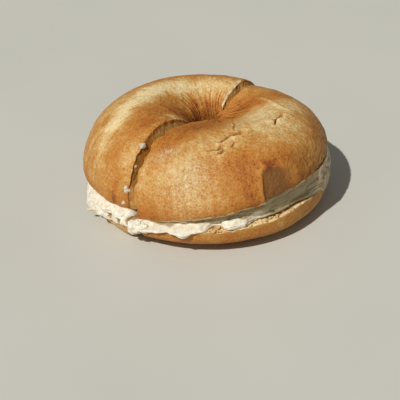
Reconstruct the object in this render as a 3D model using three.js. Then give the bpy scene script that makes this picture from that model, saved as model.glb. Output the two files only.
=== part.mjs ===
import * as THREE from 'three';

// A filled bagel: sliced level into a top and a bottom, spread with cream cheese, then cut
// down through its narrow hole into a front and a back half that still lie together.
// Lengths are millimetres and angles degrees. The table is z = 0, +Z is up, and azimuth 0
// points along +X. Every plan position is measured from the axis of the hole.

const HOLE_AXIS = [7.16, 8.44];     // places the hole so that the whole bagel is centred
const KNIFE_AZIMUTH = 51.6;          // direction of the knife cut through the hole
const CLEARANCE = 0.3;               // gap kept between one piece and the next

// Outline of the bread, seen from above.
const SWELL = { size: 0.031, azimuth: -47.5 };      // longer across the cut than along it
const CORNERS = { size: 0.007, azimuth: -54.5 };    // very slightly three-cornered

// In each ring, the crest lies crestFraction of the way from the hole to the outline, and the
// hole's radius is given by azimuth.

// Ring of dough that the top pieces are cut from. Heights are above its own cut face.
const TOP_SHAPE = {
  radius: 52.9,
  centre: [-6.93, -8.69],
  widestHeight: 2.5,
  crestHeight: 25.0,
  crestLean: 3.8,                    // the crest is higher by this much on the -X side
  underHeight: -11.0,
};

// Rings for the bottom pieces. Heights are above the table; the underside is cut flat there.
const BOTTOM_SHAPE = {
  widestHeight: 9.0,
  crestHeight: 34.5,
  crestLean: 0.0,
  crestFraction: 0.489,
  throatHeight: 24.0,
  underHeight: -1.0,
  hole: [[0, 3.3]],
  powers: { outerUpper: 2.2, innerUpper: 1.5, innerLower: 2.0, outerLower: 2.4 },
};

// How each half sits. "side" is +1 in front of the knife cut and -1 behind it. The shifts run
// square to the cut: the tops have moved apart, while below the cut leans towards the front.
const HALVES = {
  front: {
    side: 1,
    topLift: 14.4,
    topRoll: -4.42,
    topPitch: -9.99,
    topShift: 2.58,
    lowShift: 4.6,
    topRing: {
      ...TOP_SHAPE,
      hole: [[-129, 4.5], [52, 0.8]],     // the knife passed the hole on this side
      crestFraction: 0.489,
      throatHeight: 18.1,
      powers: { outerUpper: 1.8, innerUpper: 1.5, innerLower: 2.0, outerLower: 1.83 },
    },
    bottomRing: { ...BOTTOM_SHAPE, radius: 55.05, centre: [-11.9, -4.9] },
  },
  back: {
    side: -1,
    topLift: 16.0,
    topRoll: -1.56,
    topPitch: -3.77,
    topShift: -2.78,
    lowShift: 3.4,
    topRing: {
      ...TOP_SHAPE,
      // most of the hole is on this side, and it is deep
      hole: [[-129, 12.5], [-165, 8.5], [142, 7.5], [52, 7.5]],
      crestFraction: 0.438,
      throatHeight: 13.0,
      powers: { outerUpper: 1.8, innerUpper: 1.8, innerLower: 2.0, outerLower: 1.83 },
    },
    bottomRing: { ...BOTTOM_SHAPE, radius: 54.0, centre: [-8.6, -8.5] },
  },
};

// Height of the bottom bread's cut face: a level round the hole, and rim heights by azimuth.
const FACE_LEVEL = 11.5;
const RIM_HEIGHTS = [
  [-170, 7.0], [-150, 6.5], [-130, 8.6], [-118, 10.2], [-108, 11.4], [-88, 11.2], [-72, 11.8],
  [-57, 13.0], [-45, 12.6], [0, 12.0], [52, 12.0], [110, 11.5], [160, 9.0],
];

// Cream cheese, by azimuth: how far it spills past the bread's rim (minus when it stops
// short), how far it droops down over the rim, how far its face bulges out, and how far its
// top edge stays in below the edge of the top piece.
const CHEESE_INNER_RADIUS = 1.2;      // it closes the hole of the bread
const CHEESE_LUMPS = 0.45;
const CHEESE = {
  front: {
    spill: [
      [-129, 1.0], [-121, 0.8], [-117, 0.3], [-113, 1.1], [-109, 0.2], [-103, -0.4],
      [-100, -2.2], [-97, -2.2], [-95, -0.6], [-86, -0.8], [-82, -2.2], [-58, -2.0],
      [-48, 0.3], [-38, 0.9], [0, 0.8], [20, 0.0], [52, -1.0],
    ],
    droop: [
      [-129, 1.2], [-121, 0.6], [-117, 0.3], [-113, 2.8], [-109, 0.2], [-48, 0.2],
      [-38, 2.6], [0, 2.2], [20, 0.0],
    ],
    bulge: [
      [-129, 1.2], [-110, 1.4], [-103, 1.0], [-98, -0.4], [-94, 0.9], [-86, 0.7],
      [-80, 0.0], [-55, 0.0], [-40, 0.8], [0, 0.9], [20, 0.8], [52, 0.4],
    ],
    inset: [[-129, 1.2], [-120, 1.8], [-105, 3.0], [-88, 4.2], [-58, 4.2], [-42, 1.4], [52, 1.4]],
  },
  back: {
    spill: [
      [-129, 0.9], [-145, 1.1], [-160, 0.9], [-174, -0.6], [160, -1.2], [130, -1.0], [0, -1.0],
    ],
    droop: [[-129, 1.8], [-137, 0.5], [-145, 0.5], [-160, 0.9], [-174, 0.2], [165, 0.0], [52, 0.0]],
    bulge: [[-129, 1.8], [-145, 2.0], [-158, 2.0], [-170, 0.6], [178, 0.1], [165, 0.2], [52, 0.4]],
    inset: [[-129, 1.2], [-150, 1.0], [-164, 1.6], [-176, 2.8], [165, 2.6], [120, 1.4], [52, 1.4]],
  },
};

// Mesh fineness.
const STEPS = {
  topAround: 36,
  topOver: 28,
  lowAround: 48,
  bottomOver: 15,
  face: 4,
  cheeseFace: 7,
};

const rad = THREE.MathUtils.degToRad;
const cutNormal = [Math.sin(rad(KNIFE_AZIMUTH)), -Math.cos(rad(KNIFE_AZIMUTH))];

function mix(a, b, t) {
  return a + (b - a) * t;
}

function ease(t) {
  return t * t * (3 - 2 * t);
}

function clamp01(t) {
  return Math.min(Math.max(t, 0), 1);
}

// Value at an azimuth (radians) on a smooth closed curve through [degrees, value] stations.
function around(azimuth, stations) {
  const turn = (degrees) => ((degrees % 360) + 360) % 360;
  const sorted = stations.map(([d, v]) => [turn(d), v]).sort((a, b) => a[0] - b[0]);
  const x = turn(THREE.MathUtils.radToDeg(azimuth));
  let after = sorted.findIndex(([d]) => d > x);
  if (after < 0) after = sorted.length;
  const [d1, v1] = after < sorted.length ? sorted[after] : [sorted[0][0] + 360, sorted[0][1]];
  const last = sorted[sorted.length - 1];
  const [d0, v0] = after > 0 ? sorted[after - 1] : [last[0] - 360, last[1]];
  return mix(v0, v1, ease((x - d0) / (d1 - d0)));
}

// Distance from the hole's axis to the widest outline of a ring of dough.
function reach(azimuth, ring) {
  const [cx, cy] = ring.centre;
  const along = Math.cos(azimuth) * cx + Math.sin(azimuth) * cy;
  const round = along + Math.sqrt(ring.radius ** 2 - cx * cx - cy * cy + along * along);
  const about = Math.atan2(round * Math.sin(azimuth) - cy, round * Math.cos(azimuth) - cx);
  const oval = SWELL.size * Math.cos(2 * (about - rad(SWELL.azimuth)));
  const corner = CORNERS.size * Math.cos(3 * (about - rad(CORNERS.azimuth)));
  return round * (1 + oval + corner);
}

// Radius and height on a ring's section. t is 0 at the widest point, a quarter turn at the
// crest, half a turn in the throat of the hole and minus a quarter turn underneath.
function section(azimuth, t, ring) {
  const outer = reach(azimuth, ring);
  const hole = around(azimuth, ring.hole);
  const crestRadius = mix(hole, outer, ring.crestFraction);
  const crest = ring.crestHeight - ring.crestLean * Math.cos(azimuth);
  const c = Math.cos(t);
  const s = Math.sin(t);
  const p = ring.powers;
  const upper = c >= 0 ? p.outerUpper : p.innerUpper;
  const lower = c >= 0 ? p.outerLower : p.innerLower;
  const power = s >= 0 ? upper : lower;
  const size = (Math.abs(c) ** power + Math.abs(s) ** power) ** (1 / power);
  const outward = c / size;
  const upward = s / size;
  const half = c >= 0 ? outer - crestRadius : crestRadius - hole;
  const middle = mix(ring.throatHeight, ring.widestHeight, (1 + outward) / 2);
  const rise = s >= 0 ? crest - middle : middle - ring.underHeight;
  return [crestRadius + half * outward, middle + rise * upward];
}

// Where f changes sign between a and b.
function crossing(f, a, b) {
  const rising = f(a) < 0;
  for (let i = 0; i < 40; i += 1) {
    const middle = (a + b) / 2;
    if (f(middle) < 0 === rising) a = middle;
    else b = middle;
  }
  return (a + b) / 2;
}

function plan(radius, azimuth, shift) {
  const x = radius * Math.cos(azimuth) + cutNormal[0] * shift;
  const y = radius * Math.sin(azimuth) + cutNormal[1] * shift;
  return [x, y];
}

function topSeat(half) {
  const turn = new THREE.Matrix4().makeRotationY(rad(half.topPitch));
  turn.multiply(new THREE.Matrix4().makeRotationX(rad(half.topRoll)));
  const [x, y] = plan(0, 0, half.topShift);
  return new THREE.Matrix4().makeTranslation(x, y, half.topLift).multiply(turn);
}

// Height of a seated top piece's cut face over a plan position.
function topFaceHeight(x, y, half) {
  const seat = topSeat(half);
  const normal = new THREE.Vector3(0, 0, 1).transformDirection(seat);
  const point = new THREE.Vector3().setFromMatrixPosition(seat);
  return point.z - (normal.x * (x - point.x) + normal.y * (y - point.y)) / normal.z;
}

// Height of the bottom bread's cut face over a plan position.
function bottomFaceHeight(x, y) {
  const rim = around(Math.atan2(y, x), RIM_HEIGHTS);
  const outward = Math.min(Math.hypot(x, y) / TOP_SHAPE.radius, 1.15);
  return FACE_LEVEL + (rim - FACE_LEVEL) * outward;
}

function halfAzimuths(half, steps) {
  const start = rad(KNIFE_AZIMUTH) - (half.side > 0 ? Math.PI : 0);
  return Array.from({ length: steps + 1 }, (_, i) => start + (Math.PI * i) / steps);
}

// A closed loop of [radius, height] at one azimuth of a top piece.
function topLoop(azimuth, ring) {
  const height = (t) => section(azimuth, t, ring)[1];
  const start = crossing(height, -Math.PI / 2, 0);
  const end = crossing(height, Math.PI, 1.5 * Math.PI);
  const loop = [];
  for (let i = 0; i <= STEPS.topOver; i += 1) {
    loop.push(section(azimuth, mix(start, end, i / STEPS.topOver), ring));
  }
  const [outer, inner] = [loop[0][0], loop[STEPS.topOver][0]];
  for (let i = 1; i < STEPS.face; i += 1) loop.push([mix(inner, outer, i / STEPS.face), 0]);
  return loop;
}

function bottomLoop(azimuth, half) {
  const ring = half.bottomRing;
  const face = (radius) => bottomFaceHeight(...plan(radius, azimuth, half.lowShift));
  const above = (t) => {
    const [radius, height] = section(azimuth, t, ring);
    return height - face(radius);
  };
  const start = crossing(above, -Math.PI / 2, Math.PI / 2);
  const end = crossing(above, -Math.PI / 2, -1.2 * Math.PI);
  const loop = [];
  for (let i = 0; i <= STEPS.bottomOver; i += 1) {
    const [radius, height] = section(azimuth, mix(start, end, i / STEPS.bottomOver), ring);
    loop.push([radius, Math.max(height, 0)]);
  }
  const [outer, inner] = [loop[0][0], loop[STEPS.bottomOver][0]];
  for (let i = 1; i < STEPS.face; i += 1) {
    const radius = mix(inner, outer, i / STEPS.face);
    loop.push([radius, face(radius)]);
  }
  return loop;
}

function cheeseLoop(azimuth, half, recipe) {
  const toward = Math.cos(azimuth) * cutNormal[0] + Math.sin(azimuth) * cutNormal[1];
  const rim = reach(azimuth, half.bottomRing);
  const apart = (half.topShift - half.lowShift) * toward;
  const topEdge = reach(azimuth, half.topRing) + apart - around(azimuth, recipe.inset);
  const spill = around(azimuth, recipe.spill);
  // it droops only where it has spilled well clear of the rim
  const over = clamp01((spill - 0.4) / 0.4);
  const droop = Math.max(around(azimuth, recipe.droop) * over, 0.15);
  const bulge = around(azimuth, recipe.bulge);

  const floor = (radius) => bottomFaceHeight(...plan(radius, azimuth, half.lowShift)) + CLEARANCE;
  const ceiling = (radius) => {
    const [x, y] = plan(radius, azimuth, half.lowShift);
    const own = topFaceHeight(x, y, half);
    if (half.side > 0) return own - CLEARANCE;
    // behind the cut the cheese reaches forward below the front top piece
    const other = topFaceHeight(x, y, HALVES.front);
    const forward = ease(clamp01((x * cutNormal[0] + y * cutNormal[1] + 2.8) / 3.5));
    return mix(own, Math.min(own, other), forward) - CLEARANCE;
  };

  const corner = rim + Math.min(spill, CLEARANCE + 0.1);
  const loop = [];
  for (let i = 0; i <= STEPS.face; i += 1) {
    const radius = mix(CHEESE_INNER_RADIUS, corner, i / STEPS.face);
    loop.push([radius, floor(radius)]);
  }
  const lip = floor(corner) - droop;
  const lipRadius = corner + Math.max(spill, 0) * 0.6;
  loop.push([corner, lip]);
  for (let i = 1; i <= STEPS.cheeseFace; i += 1) {
    const t = i / STEPS.cheeseFace;
    const lumps = CHEESE_LUMPS * Math.sin(11 * azimuth + 3 * t) * Math.cos(5 * t - 7 * azimuth);
    const swelling = (bulge + lumps) * Math.sin(Math.PI * t) ** 0.7;
    const radius = mix(lipRadius, topEdge, t) + swelling;
    loop.push([radius, Math.min(mix(lip, ceiling(topEdge), t), ceiling(radius))]);
  }
  for (let i = STEPS.face - 1; i >= 0; i -= 1) {
    const radius = mix(CHEESE_INNER_RADIUS, topEdge, i / STEPS.face);
    loop.push([radius, ceiling(radius)]);
  }
  return loop;
}

function doubleArea([ax, ay], [bx, by], [cx, cy]) {
  return (bx - ax) * (cy - ay) - (cx - ax) * (by - ay);
}

// How well shaped the triangle is, minus when it turns the other way; straight ones are 0.
function earQuality(a, b, c, turn) {
  const square = ([px, py], [qx, qy]) => (px - qx) ** 2 + (py - qy) ** 2;
  return (turn * doubleArea(a, b, c)) / (square(a, b) + square(b, c) + square(c, a));
}

// Fills a flat loop with triangles that keep every point of it, the best shaped ones first.
function fillLoop(loop) {
  const total = loop.reduce((sum, [x, y], i) => {
    const [nx, ny] = loop[(i + 1) % loop.length];
    return sum + x * ny - nx * y;
  }, 0);
  const turn = Math.sign(total);
  const open = loop.map((_, i) => i);
  const triangles = [];
  while (open.length > 3) {
    let best = { quality: 0, at: 0 };
    for (let at = 0; at < open.length; at += 1) {
      const ear = [-1, 0, 1].map((step) => open[(at + step + open.length) % open.length]);
      const [a, b, c] = ear.map((i) => loop[i]);
      const quality = earQuality(a, b, c, turn);
      const holds = (i) => !ear.includes(i)
        && turn * doubleArea(a, b, loop[i]) >= 0
        && turn * doubleArea(b, c, loop[i]) >= 0
        && turn * doubleArea(c, a, loop[i]) >= 0;
      if (quality > best.quality && !open.some(holds)) best = { quality, at, ear };
    }
    triangles.push(best.ear);
    open.splice(best.at, 1);
  }
  triangles.push([...open]);
  return triangles;
}

// A closed body from loops at successive azimuths, with a flat knife face at either end.
function halfRing(name, azimuths, loops, shift, seat, colour) {
  const count = loops[0].length;
  const points = [];
  azimuths.forEach((azimuth, i) => {
    for (const [radius, height] of loops[i]) {
      points.push(new THREE.Vector3(...plan(radius, azimuth, shift), height));
    }
  });
  const triangles = [];
  for (let i = 0; i < azimuths.length - 1; i += 1) {
    for (let j = 0; j < count; j += 1) {
      const k = (j + 1) % count;
      const [a, b] = [i * count + j, i * count + k];
      const [c, d] = [a + count, b + count];
      triangles.push([a, c, d], [a, d, b]);
    }
  }
  const last = (azimuths.length - 1) * count;
  for (const [a, b, c] of fillLoop(loops[0])) triangles.push([a, b, c]);
  for (const [a, b, c] of fillLoop(loops[azimuths.length - 1])) {
    triangles.push([last + a, last + c, last + b]);
  }
  for (const point of points) {
    point.applyMatrix4(seat);
    point.x += HOLE_AXIS[0];
    point.y += HOLE_AXIS[1];
  }
  const geometry = new THREE.BufferGeometry().setFromPoints(points);
  geometry.setIndex(outwardFacing(points, triangles).flat());
  geometry.computeVertexNormals();
  const material = new THREE.MeshStandardMaterial({ color: colour, roughness: 0.7 });
  const mesh = new THREE.Mesh(geometry, material);
  mesh.name = name;
  return mesh;
}

function outwardFacing(points, triangles) {
  const volume = triangles.reduce((sum, [a, b, c]) => {
    const normal = new THREE.Vector3().crossVectors(points[b], points[c]);
    return sum + points[a].dot(normal);
  }, 0);
  return volume > 0 ? triangles : triangles.map(([a, b, c]) => [a, c, b]);
}

function topPiece(key) {
  const half = HALVES[key];
  const azimuths = halfAzimuths(half, STEPS.topAround);
  const loops = azimuths.map((azimuth) => topLoop(azimuth, half.topRing));
  return halfRing(`bagel_top_${key}`, azimuths, loops, 0, topSeat(half), 0xc68a4a);
}

function bottomPiece(key) {
  const half = HALVES[key];
  const azimuths = halfAzimuths(half, STEPS.lowAround);
  const loops = azimuths.map((azimuth) => bottomLoop(azimuth, half));
  const rest = new THREE.Matrix4();
  return halfRing(`bagel_bottom_${key}`, azimuths, loops, half.lowShift, rest, 0xb9783c);
}

function cheesePiece(key) {
  const half = HALVES[key];
  const azimuths = halfAzimuths(half, STEPS.lowAround);
  const loops = azimuths.map((azimuth) => cheeseLoop(azimuth, half, CHEESE[key]));
  const rest = new THREE.Matrix4();
  return halfRing(`cream_cheese_${key}`, azimuths, loops, half.lowShift, rest, 0xf3ecd9);
}

const group = new THREE.Group();
group.name = 'bagel';
for (const key of ['front', 'back']) {
  group.add(bottomPiece(key), cheesePiece(key), topPiece(key));
}

export default group;
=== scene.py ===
"""Looks of the cream cheese bagel: a sliced bagel, cut down through its hole and laid together again.

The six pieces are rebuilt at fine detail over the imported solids. Lengths are in millimetres and
angles in degrees until a piece is made, and each ring is worked out from the axis of its hole.
"""

import math

import bmesh
import bpy
import numpy as np
from mathutils import Matrix, Vector


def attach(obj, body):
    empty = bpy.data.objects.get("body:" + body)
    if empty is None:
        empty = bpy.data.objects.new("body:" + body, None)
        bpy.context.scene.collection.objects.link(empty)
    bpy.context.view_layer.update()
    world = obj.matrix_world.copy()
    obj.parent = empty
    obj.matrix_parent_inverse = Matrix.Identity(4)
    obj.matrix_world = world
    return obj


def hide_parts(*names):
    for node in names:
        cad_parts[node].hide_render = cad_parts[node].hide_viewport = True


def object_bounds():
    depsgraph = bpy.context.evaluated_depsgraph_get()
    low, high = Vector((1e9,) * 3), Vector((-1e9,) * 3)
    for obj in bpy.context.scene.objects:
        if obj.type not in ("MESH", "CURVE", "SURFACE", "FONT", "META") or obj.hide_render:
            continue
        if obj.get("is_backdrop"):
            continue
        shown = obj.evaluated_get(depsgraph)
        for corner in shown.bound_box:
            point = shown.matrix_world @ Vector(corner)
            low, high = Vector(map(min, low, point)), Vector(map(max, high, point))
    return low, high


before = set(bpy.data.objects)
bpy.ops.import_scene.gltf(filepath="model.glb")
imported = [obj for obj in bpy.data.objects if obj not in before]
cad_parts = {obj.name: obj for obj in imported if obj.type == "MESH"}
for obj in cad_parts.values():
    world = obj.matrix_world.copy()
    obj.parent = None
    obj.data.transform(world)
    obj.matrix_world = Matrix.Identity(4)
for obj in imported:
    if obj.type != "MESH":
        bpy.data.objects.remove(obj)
CAD_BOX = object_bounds()

MM = 0.001
QUARTER = math.pi / 2

# ---- the bagel's own dimensions, mm and degrees
HOLE_AXIS = (7.16, 8.44)  # where the hole's axis stands in the row frame
KNIFE_AZIMUTH = 51.6  # the way that the knife cut runs through the hole
OVAL = (0.031, -47.5)  # swell of the outline and the azimuth of its long way
CORNERS = (0.007, -54.5)  # the same, three times around

TOP_SHAPE = {
    "radius": 52.9, "centre": (-6.93, -8.69), "widest": 2.5, "crest": 25.0, "lean": 3.8, "under": -11.0,
}
TOP_RINGS = {  # 1 is the front half and -1 the back half, whose side of the hole is wider and deeper
    1: {**TOP_SHAPE, "hole": [(-129, 4.5), (52, 0.8)], "crest_at": 0.489, "throat": 18.1,
        "powers": (1.8, 1.5, 2.0, 1.83)},
    -1: {**TOP_SHAPE, "hole": [(-129, 12.5), (-165, 8.5), (142, 7.5), (52, 7.5)], "crest_at": 0.438,
         "throat": 13.0, "powers": (1.8, 1.8, 2.0, 1.83)},
}
BOTTOM_SHAPE = {
    "widest": 9.0, "crest": 34.5, "lean": 0.0, "throat": 24.0, "under": -1.0, "hole": [(0, 3.3)],
    "crest_at": 0.489, "powers": (2.2, 1.5, 2.0, 2.4),
}
LOW_RINGS = {
    1: {"radius": 55.05, "centre": (-11.9, -4.9), **BOTTOM_SHAPE},
    -1: {"radius": 54.0, "centre": (-8.6, -8.5), **BOTTOM_SHAPE},
}
SEATS = {  # how each half lies
    1: {"lift": 14.4, "roll": -4.42, "pitch": -9.99, "apart": 2.58, "low_shift": 4.6},
    -1: {"lift": 16.0, "roll": -1.56, "pitch": -3.77, "apart": 2.78, "low_shift": 3.4},
}
FACE_LEVEL = 11.5
RIM_HEIGHTS = [
    (-170, 7.0), (-150, 6.5), (-130, 8.6), (-118, 10.2), (-108, 11.4), (-88, 11.2), (-72, 11.8),
    (-57, 13.0), (-45, 12.6), (0, 12.0), (52, 12.0), (110, 11.5), (160, 9.0),
]

# Cream cheese by azimuth: how far it spills past the bottom's rim, droops over it and bulges,
# and how far its top edge stays in from the top's outline
CHEESE_HOLE = 1.2
SPILL = {
    1: [(-129, 1.0), (-121, 0.8), (-117, 0.5), (-111, 1.9), (-107, 0.5), (-103, -0.4), (-100, -4.2),
        (-97, -4.0), (-94, -1.2), (-88, -1.4), (-82, -4.2), (-62, -3.4), (-50, -0.5), (-38, 0.9),
        (0, 0.8), (20, 0.0), (52, -1.0)],
    -1: [(-129, 0.9), (-134, 0.1), (-150, 0.1), (-160, 0.7), (-174, -0.6), (160, -1.2), (130, -1.0),
         (0, -1.0)],
}
DROOP = {
    1: [(-129, 1.2), (-121, 0.6), (-118.5, 0.2), (-115, 0.9), (-110.6, 2.3), (-107, 0.8), (-103.5, 0.2),
        (-48, 0.2), (-38, 2.6), (0, 2.2), (20, 0.0)],
    -1: [(-129, 1.6), (-134, 0.1), (-150, 0.1), (-160, 0.9), (-174, 0.2), (165, 0.0), (52, 0.0)],
}
BULGE = {
    1: [(-129, 1.2), (-110, 1.4), (-103, 1.0), (-98, -0.4), (-94, 0.9), (-86, 0.7), (-80, 0.0),
        (-55, 0.0), (-40, 0.8), (0, 0.9), (20, 0.8), (52, 0.4)],
    -1: [(-129, 1.8), (-145, 2.0), (-158, 2.0), (-170, 0.6), (178, 0.1), (165, 0.2), (52, 0.4)],
}
INSET = {
    1: [(-129, 1.2), (-120, 1.8), (-105, 3.0), (-88, 4.2), (-58, 4.2), (-42, 1.4), (52, 1.4)],
    -1: [(-129, 1.2), (-150, 1.0), (-164, 1.6), (-176, 2.8), (165, 2.6), (120, 1.4), (52, 1.4)],
}
# on the front half, by azimuth: how sharply the face steps back at mid height, and the ridge low on it
SHELF = [(-129, 0.2), (-122, 0.8), (-115, 1.0), (-60, 1.0), (-48, 0.0), (52, 0.0)]
LIP_RIDGE = [
    (-130, 0.0), (-104, 0.0), (-100, 0.6), (-96, 0.6), (-84, 0.6), (-76, 1.3), (-57, 1.3), (-48, 0.0),
]
SIDE_NAME = {1: "front", -1: "back"}
CUT_NORMAL = np.array([math.sin(math.radians(KNIFE_AZIMUTH)), -math.cos(math.radians(KNIFE_AZIMUTH))])

# mesh steps: around a half ring, over its outside, across its slice face, down its knife face
TOP_STEPS = (350, 230, 12, 30)
LOW_STEPS = (345, 90, 26, 18)
CHEESE_STEPS = (470, 14, 46)  # around a half ring, across a level face, up the outer face
TORN_TURNS = (-98, -32)  # azimuths between which the front top is meshed closer, for its tears
KNIFE_LEAN = {1: 1.0, -1: 2.3}  # how far a top half's knife face leans into the gap
TOP_CORE_HEIGHT = 8.0  # height of the middle of a top half's section
LOW_CORE = (29.0, 6.0)  # radius and height of the middle of a bottom half's section


# ---- steady noise
def cell_noise(cells, seed):
    """A steady number from 0 to 1 for each whole-number cell."""
    c = cells.astype(np.int64)
    h = (c[..., 0] * 73856093) ^ (c[..., 1] * 19349663) ^ (c[..., 2] * 83492791) ^ (seed * 668265263)
    h &= 0xFFFFFFFF
    h = ((h ^ (h >> 15)) * 2246822519) & 0xFFFFFFFF
    h = ((h ^ (h >> 13)) * 3266489917) & 0xFFFFFFFF
    return (h ^ (h >> 16)) / 4294967295.0


def value_noise(points, size, seed):
    """Smooth noise from -1 to 1 with hills about `size` across."""
    p = points / size
    base = np.floor(p)
    f = p - base
    f = f * f * f * (f * (f * 6 - 15) + 10)
    total = 0.0
    for corner in np.ndindex(2, 2, 2):
        weight = 1.0
        for axis in range(3):
            weight = weight * (f[..., axis] if corner[axis] else 1 - f[..., axis])
        total = total + weight * cell_noise(base + np.array(corner), seed)
    return total * 2 - 1


def layered_noise(points, size, seed, layers):
    """Noise in layers, each half as large and half as strong as the one before."""
    total, most, weight = 0.0, 0.0, 1.0
    for k in range(layers):
        total = total + weight * value_noise(points + 17.3 * k, size / 2**k, seed + k)
        most += weight
        weight *= 0.5
    return total / most


def nearest_cells(points, size, seed):
    """Each of the 27 cells round a point, with the distance in cells to its own steady, uneven middle."""
    p = points / size
    base = np.floor(p)
    for step in np.ndindex(3, 3, 3):
        cell = base + np.array(step) - 1
        centre = cell + np.stack([cell_noise(cell, seed + k) for k in range(3)], -1)
        yield np.linalg.norm(p - centre, axis=-1), cell


def pore_depth(points, size, seed, share=0.6):
    """From 0 between pores to 1 at a pore's middle, with pores of mixed sizes about `size` apart."""
    deepest = np.zeros(points.shape[:-1])
    for gap, cell in nearest_cells(points, size, seed):
        gap = gap / (0.25 + 0.45 * cell_noise(cell, seed + 3))
        there = cell_noise(cell, seed + 4) < share
        deepest = np.maximum(deepest, np.where(there, np.clip(1 - gap * gap, 0, 1), 0))
    return deepest


def clod_height(points, size, seed):
    """Rounded lumps about `size` across with creases between them, from about -0.5 to 0.5."""
    nearest = np.full(points.shape[:-1], 9.0)
    for gap, _ in nearest_cells(points, size, seed):
        nearest = np.minimum(nearest, gap)
    return 0.5 - nearest**2 * 1.3


# ---- ring geometry
def ease(x):
    """A smooth step from 0 at 0 to 1 at 1."""
    x = np.clip(x, 0, 1)
    return x * x * (3 - 2 * x)


def bell(x, width):
    """1 where x is 0, fading smoothly to about a third at `width` on either side."""
    return np.exp(-((x / width) ** 2))


def around(azimuth, stations):
    """A smooth closed curve through (azimuth in degrees, value) stations."""
    angle = np.array([s[0] % 360 for s in stations], float)
    value = np.array([s[1] for s in stations], float)
    order = np.argsort(angle)
    angle, value = angle[order], value[order]
    angle = np.concatenate([[angle[-1] - 360], angle, [angle[0] + 360]])
    value = np.concatenate([[value[-1]], value, [value[0]]])
    x = np.degrees(azimuth) % 360
    i = np.clip(np.searchsorted(angle, x, side="right") - 1, 0, len(angle) - 2)
    t = ease((x - angle[i]) / (angle[i + 1] - angle[i]))
    return value[i] + (value[i + 1] - value[i]) * t


def reach(azimuth, ring):
    """Distance from the hole's axis to the ring's outer outline."""
    cx, cy = ring["centre"]
    toward = np.cos(azimuth) * cx + np.sin(azimuth) * cy
    plain = toward + np.sqrt(ring["radius"] ** 2 - cx * cx - cy * cy + toward**2)
    phi = np.arctan2(plain * np.sin(azimuth) - cy, plain * np.cos(azimuth) - cx)
    swell = OVAL[0] * np.cos(2 * (phi - math.radians(OVAL[1])))
    corners = CORNERS[0] * np.cos(3 * (phi - math.radians(CORNERS[1])))
    return plain * (1 + swell + corners)


def section(azimuth, t, ring):
    """Radius and height at turn t: 0 widest, a quarter turn at the crest, half a turn in the hole."""
    outer, hole = reach(azimuth, ring), around(azimuth, ring["hole"])
    middle = hole + ring["crest_at"] * (outer - hole)
    crest = ring["crest"] - ring["lean"] * np.cos(azimuth)
    c, s = np.cos(t), np.sin(t)
    p = ring["powers"]
    e = np.where(s >= 0, np.where(c >= 0, p[0], p[1]), np.where(c >= 0, p[3], p[2]))
    n = (np.abs(c) ** e + np.abs(s) ** e) ** (1 / e)
    c, s = c / n, s / n
    r = middle + np.where(c >= 0, (outer - middle) * c, (middle - hole) * c)
    level = ring["throat"] + (ring["widest"] - ring["throat"]) * (1 + c) / 2
    z = level + np.where(s >= 0, (crest - level) * s, (level - ring["under"]) * s)
    return r, z


def halfway_to_change(f, a, b, rounds=34):
    """The turn between a and b where f changes sign, by halving."""
    start = np.sign(f(a))
    for _ in range(rounds):
        m = (a + b) / 2
        same = np.sign(f(m)) == start
        a, b = np.where(same, m, a), np.where(same, b, m)
    return (a + b) / 2


def even_turns(azimuth, first, last, ring, count, favour):
    """Turns from first to last evenly spaced along each section, or closer where favour is above 1."""
    fine = first + (last - first) * np.linspace(0, 1, 481)[None]
    r, z = section(azimuth, fine, ring)
    step = np.hypot(np.diff(r, axis=1), np.diff(z, axis=1))
    step = step * favour((r[:, 1:] + r[:, :-1]) / 2, (z[:, 1:] + z[:, :-1]) / 2)
    run = np.concatenate([np.zeros((len(r), 1)), np.cumsum(step, 1)], 1)
    run /= run[:, -1:]
    wanted = np.linspace(0, 1, count + 1)
    return np.stack([np.interp(wanted, run[i], fine[i]) for i in range(len(r))])


def half_azimuths(side, count, closer=None):
    """Azimuths over a half ring, even or twice as close between the two azimuths given."""
    start = math.radians(KNIFE_AZIMUTH) - (math.pi if side > 0 else 0)
    share = np.linspace(0, 1, count + 1)
    if closer:
        fine = np.linspace(0, 1, 2001)
        turn = np.degrees(start + math.pi * fine)
        weight = 1 + ease((turn - closer[0]) / 8) * ease((closer[1] - turn) / 8)
        run = np.cumsum(weight) - weight[0]
        share = np.interp(share, run / run[-1], fine)
    return start + math.pi * share


def ring_points(azimuth, r, z):
    """Points at the azimuths, radii and heights given, over the ring's own axis."""
    return np.stack([r * np.cos(azimuth), r * np.sin(azimuth), z], -1)


def cut_plane(side):
    """The level direction from the knife plane into a half."""
    return np.array([CUT_NORMAL[0], CUT_NORMAL[1], 0.0]) * side


def seat_turn(side):
    """The turn of a top half as it lies: a roll about X, then a pitch about Y."""
    roll, pitch = math.radians(SEATS[side]["roll"]), math.radians(SEATS[side]["pitch"])
    c, s = math.cos(roll), math.sin(roll)
    about_x = np.array([[1, 0, 0], [0, c, -s], [0, s, c]])
    c, s = math.cos(pitch), math.sin(pitch)
    about_y = np.array([[c, 0, s], [0, 1, 0], [-s, 0, c]])
    return about_y @ about_x


def seat_shift(side):
    """The shift of a top half as it lies."""
    shift = CUT_NORMAL * side * SEATS[side]["apart"]
    return np.array([shift[0], shift[1], SEATS[side]["lift"]])


def seated(points, side):
    """A top half's own coordinates to its place over the hole's axis."""
    return points @ seat_turn(side).T + seat_shift(side)


def underside(x, y, side):
    """Height of a seated top half's slice face over a place."""
    k = seat_turn(side)[:, 2]
    dx, dy, lift = seat_shift(side)
    return lift - (k[0] * (x - dx) + k[1] * (y - dy)) / k[2]


def rim_height(x, y):
    """Height of the bottom's slice face over a place."""
    share = np.minimum(np.hypot(x, y) / TOP_SHAPE["radius"], 1.15)
    return FACE_LEVEL + (around(np.arctan2(y, x), RIM_HEIGHTS) - FACE_LEVEL) * share


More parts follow.
